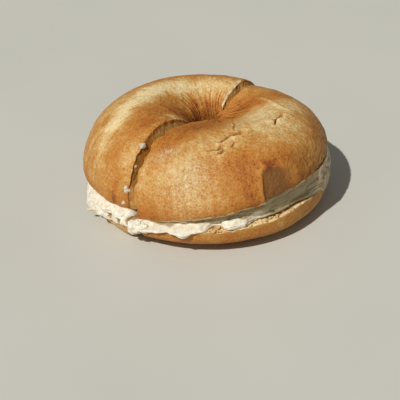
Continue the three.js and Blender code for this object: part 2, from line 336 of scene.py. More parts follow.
def grid_normals(grid, inside):
    """Outward normals of a grid of points around the point or points inside."""
    n = np.cross(np.gradient(grid, axis=0), np.gradient(grid, axis=1))
    n /= np.maximum(np.linalg.norm(n, axis=-1, keepdims=True), 1e-12)
    out = np.sign(np.sum(n * (grid - inside), -1, keepdims=True))
    return n * np.where(out == 0, 1, out)


def polar(stations):
    """Plan points from (azimuth, radius) stations."""
    return [(r * math.cos(math.radians(a)), r * math.sin(math.radians(a))) for a, r in stations]


def near_line(plan, stations):
    """Distance from each plan point to a broken line of (azimuth, radius), and how far along it, 0 to 1."""
    line = np.array(polar(stations), float)
    best = np.full(plan.shape[:-1], 1e9)
    along = np.zeros(plan.shape[:-1])
    lengths = np.linalg.norm(np.diff(line, axis=0), axis=1)
    run = 0.0
    for a, b, length in zip(line[:-1], line[1:], lengths):
        t = np.clip(np.sum((plan - a) * (b - a), -1) / length**2, 0, 1)
        gap = np.linalg.norm(plan - a - t[..., None] * (b - a), axis=-1)
        nearer = gap < best
        best = np.where(nearer, gap, best)
        along = np.where(nearer, (run + t * length) / lengths.sum(), along)
        run += length
    return best, along


# ---- meshes
CRUST_CHANNELS = ("bake", "cut", "gloss", "dark")  # browned, bare crumb, shining with painted glints, and darkened with painted shade, by point
CHEESE_CHANNELS = ("smear", "hollow", "crumb")  # thin and olive, partly as painted shade; hollow, with painted shade; and rough with crumb, by point
SHARP_ANGLE = 60


class Skin:
    """A closed mesh put together from grids of points that share their borders."""

    def __init__(self, channels):
        self.points = []
        self.quads = []
        self.count = 0
        self.channels = {name: [] for name in channels}

    def add(self, points, **values):
        """Adds a grid of points and gives back the grid of their numbers."""
        flat = points.reshape(-1, 3)
        self.points.append(flat)
        for name, rows in self.channels.items():
            value = np.broadcast_to(values.get(name, 0.0), points.shape[:-1])
            rows.append(value.reshape(-1).astype(np.float32))
        numbers = np.arange(len(flat)).reshape(points.shape[:-1]) + self.count
        self.count += len(flat)
        return numbers

    def weave(self, numbers):
        """Faces over a grid of point numbers, where a repeated number closes a quad to a triangle."""
        a, b = numbers[:-1, :-1], numbers[1:, :-1]
        c, d = numbers[1:, 1:], numbers[:-1, 1:]
        self.quads.append(np.stack([a, b, c, d], -1).reshape(-1, 4))

    def join(self, fine, coarse):
        """Triangles between two rows of points that run along one line with the same ends."""
        points = self.all_points()
        first, last = points[fine[0]], points[fine[-1]]
        way = (last - first) / np.sum((last - first) ** 2)
        a, b = (points[fine] - first) @ way, (points[coarse] - first) @ way
        i = j = 0
        triangles = []
        while i < len(fine) - 1 or j < len(coarse) - 1:
            if j == len(coarse) - 1 or (i < len(fine) - 1 and a[i + 1] <= b[j + 1]):
                triangles.append((fine[i], fine[i + 1], coarse[j], coarse[j]))
                i += 1
            else:
                triangles.append((fine[i], coarse[j + 1], coarse[j], coarse[j]))
                j += 1
        self.quads.append(np.array(triangles))

    def all_points(self):
        return np.concatenate(self.points)

    def make(self, name, material, points):
        """The finished object, with its points moved to the places given in mm."""
        faces = []
        for q in np.concatenate(self.quads).tolist():
            face = [v for k, v in enumerate(q) if v != q[k - 1]]
            if len(set(face)) == len(face) >= 3:
                faces.append(face)
        mesh = bpy.data.meshes.new(name)
        mesh.from_pydata((points * MM).tolist(), [], faces)
        mesh.validate()
        for channel, rows in self.channels.items():
            set_channel(mesh, channel, np.concatenate(rows))
        turn_outward(mesh)
        mesh.polygons.foreach_set("use_smooth", [True] * len(mesh.polygons))
        mesh.set_sharp_from_angle(angle=math.radians(SHARP_ANGLE))
        return add_object(name, mesh, material)


def set_channel(mesh, name, values):
    """Gives each point of a mesh its value for the material to read."""
    mesh.attributes.new(name, "FLOAT", "POINT").data.foreach_set("value", values)


def add_object(name, data, material=None):
    if material:
        data.materials.append(material)
    thing = bpy.data.objects.new(name, data)
    bpy.context.scene.collection.objects.link(thing)
    return thing


def turn_outward(mesh):
    """Turns a closed mesh's faces to look outward."""
    bm = bmesh.new()
    bm.from_mesh(mesh)
    bmesh.ops.recalc_face_normals(bm, faces=bm.faces)
    if bm.calc_volume(signed=True) < 0:
        bmesh.ops.reverse_faces(bm, faces=bm.faces)
    bm.to_mesh(mesh)
    bm.free()


def ruled(curve, count):
    """Rows of points from a curve down to the straight line between its ends."""
    first, last = curve[0], curve[-1]
    share = np.sum((curve - first) * (last - first), -1) / np.sum((last - first) ** 2)
    share = np.clip(np.maximum.accumulate(share), 0, 1)
    foot = first + (last - first) * share[:, None]
    s = np.linspace(0, 1, count + 1)[None, :, None]
    return curve[:, None] * (1 - s) + foot[:, None] * s


def on_root(piece, node):
    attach(piece, "root")
    if node:
        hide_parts(node)


def finish_half(skin, points, side, material, kind, node):
    """Makes a half's piece from points in mm over the hole's axis."""
    points[:, :2] += HOLE_AXIS
    ending = "_" + SIDE_NAME[side]
    on_root(skin.make(kind + ending, material, points), node + ending)


# ---- how the crust was baked and torn
# Browner (+) and paler (-) places on each top half: (x, y, radius, amount) in its own plan, mm
BAKED = {
    1: [
        (-25, -38, 6, 0.10), (-20, -33, 8, 0.14), (-13, -29, 8, 0.15), (-7, -24, 8, 0.16),
        (-2, -17, 8, 0.17), (3, -10, 7, 0.18), (8, -5, 5, 0.18), (14, 0, 5.5, 0.20),
        (20, 1, 5.5, 0.18), (27, 4, 5, 0.10), (-10, -43, 8, -0.10), (-1, -39, 7, -0.14),
        (5, -42, 8, -0.10), (13, -27, 8, -0.16), (20, -17, 8, -0.19), (22, -30, 9, -0.12),
        (25, -38, 8, -0.05), (33, -28, 10, -0.12), (29, -12, 8, -0.16), (36, -8, 8, -0.08),
        (3, -54, 9, 0.12), (10, -53, 7, 0.12), (9, -58, 6, 0.12), (19.2, -50.6, 2.2, 0.30),
        (22, -54, 5, 0.12), (-16, -50, 9, -0.10), (-30, -46, 8, -0.04), (42, -27, 6, 0.18),
        (33, 6, 6, 0.2), (-28, -54, 8, 0.08), (34, -44, 9, 0.12), (28, -47, 6, 0.10),
        (44, -12, 8, 0.12), (-2, -46, 8, 0.08), (-35, -53, 4, 0.12), (-24, -59.5, 4, 0.10),
        (-13, -61, 4, 0.08), (-25, -53, 6, -0.09), (-6, -50, 6, 0.04), (9.4, -37.3, 1.7, 0.34),
    ],
    -1: [
        (-30, -28, 6, 0.09), (-26, -21, 6, 0.12), (-23, -14, 6, 0.13), (-20, -7, 5.5, 0.15),
        (-17, 0, 5, 0.13), (-14, 5, 4, 0.10), (-22, -27, 7, 0.08), (-43.2, -43.9, 1.6, 0.22),
        (-17, -14.5, 2.4, -0.36), (-47, -24, 5, -0.16), (-42, -18, 5, -0.36), (-38, -12, 5, -0.40),
        (-34, -6, 5, -0.40), (-29, 1, 5, -0.40), (-24, 7, 5, -0.38), (-18, 12, 5, -0.36),
        (-11, 15, 5, -0.30), (-4, 17, 5, -0.23), (4, 17.5, 5, -0.20), (12, 17, 5, -0.18),
        (-50, -3, 6, 0.02), (-44, 9, 6, 0.12), (-33, 17, 6, 0.16), (-24, 24, 6, 0.16),
        (-12, 27, 6, 0.16), (-1, 28, 6, 0.16), (12, 24, 6, 0.14), (-42, -33, 5, 0.14),
        (-35, -38, 6, -0.10), (-52, -14, 7, -0.08), (-38, -48, 5, 0.14), (-6.4, 5.0, 3.6, 0.34),
        (0.5, 9.0, 3.2, 0.36), (-10.2, -4, 3.6, 0.32), (-14.5, -8.6, 4.0, 0.30), (-4, 12.5, 4, -0.12),
        (-14, 2, 5, -0.06),
    ],
}
BAKE_OF_TOP, BAKE_OF_BOTTOM, BAKE_OF_TORN, BAKE_OF_WORN = 0.47, 0.58, 0.78, 0.22
WRINKLE_HEIGHT, PATCH_DEPTH, WORN_DEPTH = 0.36, 0.75, 0.6
CORNER_SPREAD = 2.0  # how far the front's low corner reaches into the gap
BASE_SWELL = 2.4  # how far the back's base swells out below the spilt cheese
TEARS = [  # lines of (azimuth, radius) on the front half, with the width at either end and the depth
    ([(-70.5, 36.8), (-73.5, 37.9), (-76, 38.8), (-79, 39.2), (-81.2, 38.7), (-83.8, 40.0), (-87.4, 41.5)],
     (1.5, 0.5), 2.4),
    ([(-86.5, 43.2), (-87.7, 44.4), (-90, 45.8), (-91.7, 45.1), (-94.6, 45.4)], (0.75, 0.4), 1.5),
    ([(-86, 45.7), (-88.4, 47.4), (-91, 47.5)], (0.6, 0.5), 1.1),
    ([(-79.8, 43.0), (-82.2, 45.2)], (0.5, 0.5), 1.1),
    ([(-35, 35.7), (-39.8, 36.5), (-44.5, 36.1), (-50.3, 39.1)], (0.75, 0.4), 1.7),
    ([(-68.3, 20), (-71.9, 27.6), (-76.2, 32.6), (-75.5, 34.3)], (0.4, 0.4), 0.6),
]
FOLDS = {  # raised folds of crust: line of (azimuth, radius), height, width and paleness
    1: [
        ([(16, 18.7), (-1, 22.4), (-12.5, 26.4), (-25, 31.5), (-26, 35.1), (-31, 38.7)], 0.5, 1.2, 0.7),
        ([(35, 4.6), (32, 7.7), (23.5, 11.5), (20.5, 14.2), (16, 18.7)], 0.45, 0.7, 0.7),
    ],
    -1: [([(-172, 53.0), (-165, 50.3), (-157, 47.2)], 0.4, 1.3, 0.0)],
}
# edges of the flattened patch, as lines of (azimuth, radius)
PATCH_EDGE = [(-76.9, 61.5), (-75.4, 59.0), (-74.2, 57.0), (-72.1, 55.9)]
PATCH_TOP = [(-73.5, 57.0), (-71, 55.6), (-67, 55.4), (-63, 56.3)]
BLISTERS = [(-13, -53.5, 9.5, 6), (-21, -41, 5, 2.5)]  # x, y and radii of the shining, blistered places
CRUMB_EDGE = {  # how high above the slice the crumb shows on the outside
    1: [(-128, 0.9), (-60, 1.0), (-50, 1.6), (-40, 4.0), (-25, 6.5), (0, 7.0), (20, 4.0), (52, 1.0)],
    -1: [(-129, 0.9), (180, 0.7), (90, 0.8)],
}


def flat_noise(u, v, seed):
    """Smooth noise over two directions, with hills about 1 across."""
    return value_noise(np.stack([u, v, np.full_like(u, 0.5)], -1), 1, seed)


def hole_wrinkles(local, turn, r):
    """Fine folds of skin that run down into the hole, from about -1 to 1, by place."""
    u, v = (turn + 3.0 * value_noise(local, 9, 41)) / 3.1, r / 11
    return 0.75 * flat_noise(u, v, 51) + 0.45 * flat_noise(2.3 * u, 1.4 * v, 52)


def patch_cover(turn, r):
    """1 on the flattened patch low on the front, which is darkened with painted shade, and 0 off it."""
    left = ease((turn + 75.1 + 0.58 * (r - 58.5)) / 0.9)
    right = ease((-58 - turn) / 9)
    upper = ease((r - 55.2 - 0.10 * np.abs(turn + 69)) / 1.3)
    return left * right * upper


def tear(local, turn, r, line, widths, depth, jitter):
    """Relief of one tear, how torn the crust is, and how pale the lip raised on its outer side."""
    gap, along = near_line(local[..., :2], line)
    gap = np.abs(gap + jitter)
    width = widths[0] + (widths[1] - widths[0]) * ease(along * 1.6 - 0.2)
    taper = np.sin(np.pi * np.clip(0.05 + 0.9 * along, 0, 1)) ** 0.5
    dip = np.exp(-((gap / width) ** 4)) * taper
    azimuths, radii = zip(*sorted(line))
    outer_side = ease((r - np.interp(turn, azimuths, radii) + 0.3) / 0.8)
    lip = bell(gap - 1.5, 1.1) * taper * outer_side
    relief = 0.35 * depth * lip - depth * dip
    return relief, ease((dip - 0.15) / 0.85), lip


def crust_relief(local, turn, r, side):
    """How far the crust stands out from the plain ring, in mm, how torn it is and how pale."""
    plan = local[..., :2]
    out = 0.55 * layered_noise(local, 26, 11 + side, 2)
    out += 0.20 * layered_noise(local, 7, 21 + side, 2)
    out += 0.15 * layered_noise(local, 2.2, 31 + side, 2) + 0.05 * value_noise(local, 0.9, 35 + side)
    near_hole = ease((20 - r) / 9) * ease((r - 1) / 5)
    patchy = 0.65 + 0.5 * value_noise(local, 6, 43)
    out += WRINKLE_HEIGHT * near_hole * patchy * hole_wrinkles(local, turn, r)
    torn, pale = np.zeros_like(r), np.zeros_like(r)
    jitter = 0.28 * value_noise(local, 1.8, 61)
    if side > 0:
        for line, widths, depth in TEARS:
            relief, opened, lip = tear(local, turn, r, line, widths, depth, jitter)
            out += relief
            torn = np.maximum(torn, opened)
            pale = np.maximum(pale, 0.8 * lip * ease((r - 34) / 3))
        out += 0.14 * pale * layered_noise(local, 1.3, 63, 2)
    for line, height, width, paleness in FOLDS[side]:
        gap, along = near_line(plan, line)
        fold = bell(gap, width) * np.sin(np.pi * along) ** 0.5
        out += height * fold
        pale = np.maximum(pale, paleness * fold)
    if side > 0:
        out += 0.35 * bell(near_line(plan, PATCH_EDGE)[0], 0.9) - PATCH_DEPTH * patch_cover(turn, r)
        out += 0.3 * bell(near_line(plan, PATCH_TOP)[0], 0.8)
        out += 0.20 * blistered(plan) * layered_noise(local, 1.4, 71, 2)
    return out, torn, pale


def blistered(plan):
    """The zone of fine shining blisters on the front half, 1 in its middle."""
    x, y = plan[..., 0], plan[..., 1]
    cover = sum(np.exp(-(((x - cx) / rx) ** 2) - ((y - cy) / ry) ** 2) for cx, cy, rx, ry in BLISTERS)
    return np.clip(cover, 0, 1)


def bake_level(local, turn, r, side):
    """How dark the crust is baked, from 0 pale to 1 dark brown."""
    x, y, z = local[..., 0], local[..., 1], local[..., 2]
    x = x + 1.8 * value_noise(local, 6, 75 + side) + 0.8 * value_noise(local, 2.5, 77 + side)
    y = y + 1.8 * value_noise(local, 6, 76 + side) + 0.8 * value_noise(local, 2.5, 78 + side)
    level = BAKE_OF_TOP + 0.12 * layered_noise(local, 16, 81 + side, 3)
    level += 0.09 * layered_noise(local, 3.5, 91 + side, 2)
    for bx, by, size, amount in BAKED[side]:
        level += amount * np.exp(-((x - bx) ** 2 + (y - by) ** 2) / size**2)
    level += 0.14 * ease((9 - z) / 9) * ease((r - 40) / 10)
    patchy = 0.06 + 0.08 * value_noise(local, 5, 44)
    level += ease((19 - r) / 9) * (patchy - 0.38 * hole_wrinkles(local, turn, r))
    # fine streaks where the skin stretched down the outside
    streaks = flat_noise(turn / 1.4, r / 5 + z / 7, 95 + side)
    level += 0.09 * ease((r - 18) / 8) * streaks + 0.06 * value_noise(local, 1.3, 97 + side)
    return level


def add_knife_face(skin, edge, plane, slice_row, steps, lean, seeds):
    """A crumb face from an outer curve down to the slice line, leaning into the gap by `lean`."""
    curve = skin.all_points()[edge]
    rows = ruled(curve, steps)
    inner = rows[1:-1, 1:-1].copy()
    below = np.linalg.norm(inner - rows[1:-1, :1], axis=-1)
    depth = 0.35 * pore_depth(inner, 2.4, seeds) + 0.35 * layered_noise(inner, 4, seeds + 10, 3)
    fade = ease(np.minimum(below / 1.5, 1)) * ease(np.arange(steps - 1, 0, -1) / 3)[None]
    from_plane = inner @ plane * ease(below / 1.6)
    far_out = ease((np.linalg.norm(inner[..., :2], axis=-1) - 56) / 4)
    lean = lean * (1 + 0.7 * far_out)
    inner += plane * ((depth - lean * ease(below / 8)) * fade - from_plane)[..., None]
    numbers = np.zeros(rows.shape[:2], np.int64)
    numbers[:, 0] = edge
    outer = ease((np.linalg.norm(inner[..., :2], axis=-1) - 32) / 16)
    # how dark the knife face's crumb is: darker towards the outside of the ring, but lighter at its far
    # outside away from the crust
    knife_face_level = 0.66 - 0.22 * far_out * ease(below / 4) + 0.32 * outer
    knife_face_level += 0.12 * layered_noise(inner, 3, seeds + 20, 2)
    numbers[1:-1, 1:-1] = skin.add(inner, cut=ease((below - 0.5) / 1.0), bake=knife_face_level)
    numbers[0, :], numbers[-1, :] = edge[0], edge[-1]
    numbers[1:-1, -1] = skin.add(rows[1:-1, -1:], cut=1.0, bake=0.5)[:, 0]
    skin.weave(numbers)
    skin.join(numbers[:, -1], slice_row)


def add_slice_face(skin, shell, count, wobble, seed):
    """The level slice face between the outer and inner edge of a shell, finer towards the outside."""
    points = skin.all_points()
    outer, inner = points[shell[:, 0]][:, None], points[shell[:, -1]][:, None]
    s = (np.linspace(0, 1, count + 1)[1:-1] ** 1.8)[None, :, None]
    face = outer * (1 - s) + inner * s
    face[..., 2] += wobble * (layered_noise(face, 2.4, seed, 3) - 0.6 * pore_depth(face, 2.2, seed + 5))
    numbers = skin.add(face, cut=1.0, bake=0.25 + 0.2 * layered_noise(face, 4, seed + 9, 2))
    slice_numbers = np.concatenate([shell[:, :1], numbers, shell[:, -1:]], 1)
    skin.weave(slice_numbers)
    return slice_numbers


def closed_shell(outside, plane, steps, slice_look, knife_look, **channels):
    """A skin of a shell's outside, its slice face (wobble, seed) and its two knife faces (lean, seeds)."""
    _, _, count_face, count_down = steps
    skin = Skin(CRUST_CHANNELS)
    shell = skin.add(outside, **channels)
    skin.weave(shell)
    slice_numbers = add_slice_face(skin, shell, count_face, *slice_look)
    for end in (0, -1):
        add_knife_face(skin, shell[end], plane, slice_numbers[end], count_down, *knife_look)
    return skin


def top_half(side, material):
    count_around, count_over, _, _ = TOP_STEPS
    ring = TOP_RINGS[side]
    azimuth = half_azimuths(side, count_around, TORN_TURNS if side > 0 else None)[:, None]

    def height(t):
        return section(azimuth, t, ring)[1]

    def favour(r, z):
        torn_zone = (r > 33) & (r < 49) & (side > 0)
        return np.where((r < 14) & (z < 12), 0.35, np.where(torn_zone, 1.7, 1.0))

    first = halfway_to_change(height, -QUARTER, 0.0)
    last = halfway_to_change(height, 2 * QUARTER, 3 * QUARTER)
    turn = even_turns(azimuth, first, last, ring, count_over, favour)
    r, z = section(azimuth, turn, ring)
    degrees = np.degrees(azimuth) * np.ones_like(r)
    local = ring_points(azimuth, r, z)
    hole = around(azimuth, ring["hole"])
    core = (hole + ring["crest_at"] * (reach(azimuth, ring) - hole)) * np.ones_like(r)
    normal = grid_normals(local, ring_points(azimuth, core, np.full_like(r, TOP_CORE_HEIGHT)))
    relief, torn, pale = crust_relief(local, degrees, r, side)
    bake = bake_level(local, degrees, r, side) - 0.24 * pale
    bake += (BAKE_OF_TORN - bake) * torn
    # the crust's own slice edge is a little ragged, and pale where the crumb shows
    outside = r > 25
    edge = bell(z, 1.3) * outside
    ragged = value_noise(local, 2.2, 101 + side) + 0.6 * value_noise(local, 0.9, 103 + side)
    crumb_top = around(azimuth, CRUMB_EDGE[side])
    cut = ease((crumb_top * (1 + 0.6 * ragged) - z) / 0.6) * outside
    relief -= 0.7 * cut * ease((crumb_top - 1.2) / 2) * pore_depth(local, 2.2, 105)
    bake += (0.24 + 0.2 * ease((crumb_top - 1.2) / 2) - bake) * cut
    if side > 0:
        # painted shade: low on the right, on the side turned from the light, the crust is coloured greyer
        # and darker, with small pores
        shaded_right = ease((degrees + 66) / 14) * ease((5 - degrees) / 25) * ease((18 - z) / 9)
        cut = np.maximum(cut, shaded_right * (0.75 + 0.25 * value_noise(local, 2.0, 107)))
        relief -= 0.35 * shaded_right * pore_depth(local, 1.8, 109, 0.5)
        bake += 0.24 * shaded_right
    shaped = local + normal * relief[..., None]
    shaped[..., 2] += 0.3 * edge * ragged
    # the knife's edges are not quite straight
    plane = cut_plane(side)
    from_cut = shaped @ plane
    wander = (0.9 + 0.6 * side) * value_noise(shaped, 4.6, 111 + side)
    wander += 0.35 * value_noise(shaped, 1.3, 113 + side)
    if side > 0:
        # the front's low corner by the cut spreads into the gap
        wander -= CORNER_SPREAD * ease((6 - z) / 6) * ease((r - 52) / 5)
    shaped += plane * (wander * bell(from_cut, 1.8) - 0.1)[..., None]
    shaped -= normal * (0.35 * np.exp(-(np.abs(from_cut) / 0.55)))[..., None]
    if side > 0:
        gloss = blistered(local[..., :2])
        # the shining zone is painted paler: partly pale blisters, partly a painted sheen where the
        # highlight falls
        bake -= 0.12 * gloss
        # painted shade: the flattened patch, turned from the light, and the deepest part of each tear are
        # darkened
        dark = np.maximum(patch_cover(degrees, r), 0.6 * ease((torn - 0.6) / 0.4))
    else:
        gloss, dark = 0.0, 0.0
        # the crust is worn off along the cut on the far side of the hole, and the crumb catches the light
        worn = ease((1.2 - from_cut) / 1.2) * ease((80 - degrees) / 8)
        worn *= ease((r - 8) / 3) * ease((26 - r) / 3)
        shaped -= normal * (WORN_DEPTH * worn)[..., None]
        cut = np.maximum(cut, ease(worn / 0.25))
        bake += (BAKE_OF_WORN - bake) * ease(worn / 0.25)
    cut = np.maximum(cut, 0.8 * torn)
    looks = (0.0, 121), (KNIFE_LEAN[side], 131 + side)
    skin = closed_shell(shaped, plane, TOP_STEPS, *looks, bake=bake, cut=cut, gloss=gloss, dark=dark)
    points = seated(skin.all_points(), side)
    finish_half(skin, points, side, material, "crust_top", "bagel_top")


def bottom_half(side, material):
    count_around, count_over, _, _ = LOW_STEPS
    ring = LOW_RINGS[side]
    shift = CUT_NORMAL * SEATS[side]["low_shift"]
    azimuth = half_azimuths(side, count_around)[:, None]

    def above_rim(t):
        r, z = section(azimuth, t, ring)
        return z - rim_height(r * np.cos(azimuth) + shift[0], r * np.sin(azimuth) + shift[1])

    def favour(r, z):
        return np.where(r > 40, 2.2, 1.0)

    first = halfway_to_change(above_rim, -QUARTER, QUARTER)
    last = halfway_to_change(above_rim, -QUARTER, -2.4 * QUARTER)
    turn = even_turns(azimuth, first, last, ring, count_over, favour)
    r, z = section(azimuth, turn, ring)
    local = ring_points(azimuth, r, np.maximum(z, 0))
    degrees = np.degrees(azimuth) * np.ones_like(r)
    core_r, core_z = (np.full_like(r, value) for value in LOW_CORE)
    normal = grid_normals(local, ring_points(azimuth, core_r, core_z))
    relief = 0.35 * layered_noise(local, 18, 211 + side, 2) + 0.14 * layered_noise(local, 4, 221 + side, 3)
    if side < 0:
        # below the spilt cheese the base swells out
        relief += BASE_SWELL * ease((degrees - 194) / 10) * ease((229 - degrees) / 5) * bell(z - 3, 2.4)
    below = z[:, :1] - z
    ragged = value_noise(local, 2.4, 231 + side) + 0.6 * value_noise(local, 1.0, 233 + side)
    outer = ease((r - 30) / 6)
    shaped = local + normal * (relief * ease(z / 2.0))[..., None]
    shaped[..., 2] += 0.5 * bell(below, 1.3) * ragged * outer
    cut = ease((0.8 + 0.7 * ragged - below) / 0.5) * outer
    bake = BAKE_OF_BOTTOM + 0.12 * layered_noise(local, 14, 241 + side, 3)
    bake += 0.07 * layered_noise(local, 3, 251, 2)
    bake -= 0.13 * ease((4.5 - z) / 3)
    if side > 0:
        bake -= 0.10 * ease((degrees + 80) / 15)
    else:
        bake -= 0.26 * ease((degrees - 194) / 10)
    plane = cut_plane(side)
    from_cut = shaped @ plane
    wander = 0.3 * value_noise(shaped, 4, 261 + side) * bell(from_cut, 1.5)
    shaped += plane * wander[..., None]
    looks = (0.35, 271), (0.0, 281 + side)
    skin = closed_shell(shaped, plane, LOW_STEPS, *looks, bake=bake, cut=cut)
    points = skin.all_points()
    points[:, :2] += shift
    points[:, 2] = np.maximum(points[:, 2], 0)
    finish_half(skin, points, side, material, "crust_bottom", "bagel_bottom")


# ---- cream cheese
# hollows in the back half's cheese, by azimuth, height and radius
CAVITIES = [(-137.6, 9.3, 1.7), (-132.6, 11.1, 1.5), (-144, 8.6, 1.5)]
CAVITY_DEPTH = 2.4
CLUMPED_AT, CLUMPED_OVER = 215, 26  # the azimuth where the cheese is clumped, and how far to either side


def cheese_outline(side, azimuth):
    """Radii and heights once around the cheese's section, and how much of its face hangs over the rim."""
    _, count_flat, count_face = CHEESE_STEPS
    low_shift = SEATS[side]["low_shift"]
    shift = CUT_NORMAL * low_shift
    co, si = np.cos(azimuth), np.sin(azimuth)
    rim = reach(azimuth, LOW_RINGS[side])
    between = SEATS[side]["apart"] * side - low_shift
    spill, droop, bulge, inset = (around(azimuth, table[side]) for table in (SPILL, DROOP, BULGE, INSET))
    top_edge = reach(azimuth, TOP_SHAPE) - inset + between * (co * CUT_NORMAL[0] + si * CUT_NORMAL[1])
    droop = np.maximum(droop * np.clip((spill - 0.4) / 0.4, 0, 1), 0.15)
    ridge = around(azimuth, LIP_RIDGE) if side > 0 else 0.0
    shelf = around(azimuth, SHELF) if side > 0 else 0.0

    def place(r):
        return r * co + shift[0], r * si + shift[1]

    def floor_height(r):
        return rim_height(*place(r)) + 0.1

    def ceiling_height(r):
        x, y = place(r)
        own = underside(x, y, side)
        if side < 0:
            near_cut = ease((x * CUT_NORMAL[0] + y * CUT_NORMAL[1] + 2.8) / 3.5)
            own = own + (np.minimum(own, underside(x, y, 1)) - own) * near_cut
        return own - 0.05

    corner = rim + np.minimum(spill, 0.4)
    lip = corner + np.maximum(spill, 0) * 0.6
    lip_height = floor_height(corner) - droop
    top_height = ceiling_height(top_edge)
    rim_share = np.clip(droop / (top_height - lip_height), 0, 0.6)
    rows = []
    for s in np.linspace(0, 1, count_flat + 1):
        r = CHEESE_HOLE + (corner - CHEESE_HOLE) * s
        rows.append((r, floor_height(r)))
    for s in np.linspace(0, 1, count_face + 1):
        inward = s + (ease((s - rim_share) / (0.62 * (1 - rim_share))) - s) * shelf
        swell = math.sin(math.pi * s**0.75) ** 0.7 * (1 - shelf)
        swell += math.sin(math.pi * min(s / 0.6, 1)) * shelf
        r = lip + (top_edge - lip) * inward + bulge * swell
        r = r + ridge * bell(s - 0.2, 0.11)
        if s in (0, 1):
            r = top_edge if s else corner
        z = lip_height + (top_height - lip_height) * s
        rows.append((r, np.minimum(z, ceiling_height(r))))
    for s in np.linspace(1, 0, count_flat + 1)[1:]:
        r = CHEESE_HOLE + (top_edge - CHEESE_HOLE) * s
        rows.append((r, ceiling_height(r)))
    radii, heights = zip(*rows)
    return np.stack(radii, 1), np.stack(heights, 1), rim_share


def cheese_relief(local, turn, r, side, clumped):
    """Relief of the spread cheese in mm, and where it is thin with painted shade, creased, crumby and
    hollow.
    """
    # painted shade: on the right of the front half, the thin, smoother spread is coloured darker olive
    # where it lies in shade
    smear_and_shade = ease((turn + 82) / 8) * ease((50 - turn) / 20) * (side > 0)
    crumby = ease((turn + 51) / 7) * ease((30 - turn) / 20) * (side > 0)
    clods = 1.9 * clod_height(local, 5.5, 311) + 1.1 * clod_height(local, 2.5, 312)
    out = clumped * (clods + 0.7 * layered_noise(local, 1.5, 321, 2))
    ridges = local / np.array([7, 7, 1.6])
    spread = 0.7 * layered_noise(ridges, 1, 331, 3) + 0.2 * clod_height(local, 2.2, 335)
    out += (1 - clumped) * (1 - 0.75 * smear_and_shade) * spread
    creases = (1 - clumped) * np.clip(1 - np.abs(value_noise(ridges * 0.8, 1, 337)) / 0.13, 0, 1)
    out -= 0.45 * creases + 0.8 * clumped * pore_depth(local, 4.0, 341, 0.35)
    out += 0.30 * (1 - clumped) * (1 - smear_and_shade) * layered_noise(local, 1.8, 347, 2)
    out += crumby * (0.9 * layered_noise(local, 3, 345, 3) - 0.8 * pore_depth(local, 2.4, 346, 0.7))
    hollow = np.zeros(r.shape)
    if side < 0:
        for where, level, size in CAVITIES:
            gap = np.hypot((turn - where) * math.radians(1) * r, local[..., 2] - level)
            hollow = np.maximum(hollow, np.clip(1 - (gap / size) ** 2, 0, 1))
    return out - CAVITY_DEPTH * hollow, smear_and_shade, creases, crumby, hollow


def cheese_half(side, material):
    count_around, count_flat, count_face = CHEESE_STEPS
    azimuth = half_azimuths(side, count_around)
    r, z, rim_share = cheese_outline(side, azimuth)
    local = ring_points(azimuth[:, None], r, z)
    # rough, spread cheese on the outer face
    first, last = count_flat + 1, count_flat + count_face + 1
    face = slice(first, last + 1)
    s = np.linspace(0, 1, count_face + 1)
    on_face = np.zeros(r.shape)
    on_face[:, face] = np.minimum(1, 5 * np.minimum(s + 0.05, 1.02 - s))
    outward = ring_points(azimuth, 1.0, 0 * azimuth)[:, None]
    turn = ((np.degrees(azimuth) + 180) % 360 - 180)[:, None] * np.ones_like(r)
    clumped = bell((turn - CLUMPED_AT) % 360, CLUMPED_OVER) + bell((CLUMPED_AT - turn) % 360, CLUMPED_OVER)
    clumped = np.clip(clumped, 0, 1)
    out, smear_and_shade, creases, crumby, hollow = cheese_relief(local, turn, r, side, clumped)
    shaped = local + outward * (on_face * out)[..., None]
    shaped[..., 2] += on_face * clumped * 0.9 * layered_noise(local, 5, 351, 2)
    # the two halves' cheese runs together at the cut
    plane = cut_plane(side)
    from_cut = np.maximum(local @ plane, 0)
    joining = (1.1 + 0.4 * value_noise(local, 3, 361)) * bell(from_cut, 1.6)
    shaped -= plane * joining[..., None]
    if side > 0:
        # painted shade: close under the top's edge, which shades it, the spread is coloured olive, and its
        # creases are darkened too
        height_share = np.zeros(r.shape)
        height_share[:, face] = s
        height_share += 0.10 * value_noise(local, 3, 371) + 0.05 * value_noise(local, 1.2, 372)
        lowest = 0.48 + 0.6 * rim_share[:, None]
        shade_under_top = ease((height_share - lowest) / 0.08) * ease((turn + 125) / 4) * ease((-60 - turn) / 20)
        smear_and_shade = np.maximum(smear_and_shade, np.maximum(shade_under_top, 0.55 * creases))
    skin = Skin(CHEESE_CHANNELS)
    loop = skin.add(shaped, smear=smear_and_shade, hollow=ease(2.5 * hollow), crumb=crumby)
    skin.weave(np.concatenate([loop, loop[:, :1]], 1))
    for end in (0, -1):
        # the cut end: level rows joined across, and a fan over the outer face
        row = loop[end]
        skin.weave(np.stack([row[:first], row[last:][::-1]]))
        corner = row[count_flat]
        curve = np.concatenate([[corner], row[first:last], [row[last]]])
        fan = np.stack([curve[:-1], curve[1:], np.full(len(curve) - 1, corner)], -1)[1:]
        skin.quads.append(np.concatenate([fan, fan[:, 2:]], 1))
    points = skin.all_points()
    points[:, :2] += CUT_NORMAL * SEATS[side]["low_shift"]
    finish_half(skin, points, side, material, "cheese", "cream_cheese")


# ---- loose bits
def lump(centre, radii, seed, roughness, detail):
    """Points and faces of one rounded, uneven lump, in mm."""
    bm = bmesh.new()
    bmesh.ops.create_icosphere(bm, subdivisions=detail, radius=1.0)
    points = np.array([v.co for v in bm.verts])
    faces = [[v.index for v in f.verts] for f in bm.faces]
    bm.free()
    size = float(np.mean(radii))
    place = points * np.array(radii) + np.array(centre)
    swell = roughness * clod_height(place, size * 0.9, seed)
    swell += 0.4 * roughness * layered_noise(place, size / 3, seed + 5, 2)
    return points * np.array(radii) * (1 + swell)[:, None] + np.array(centre), faces


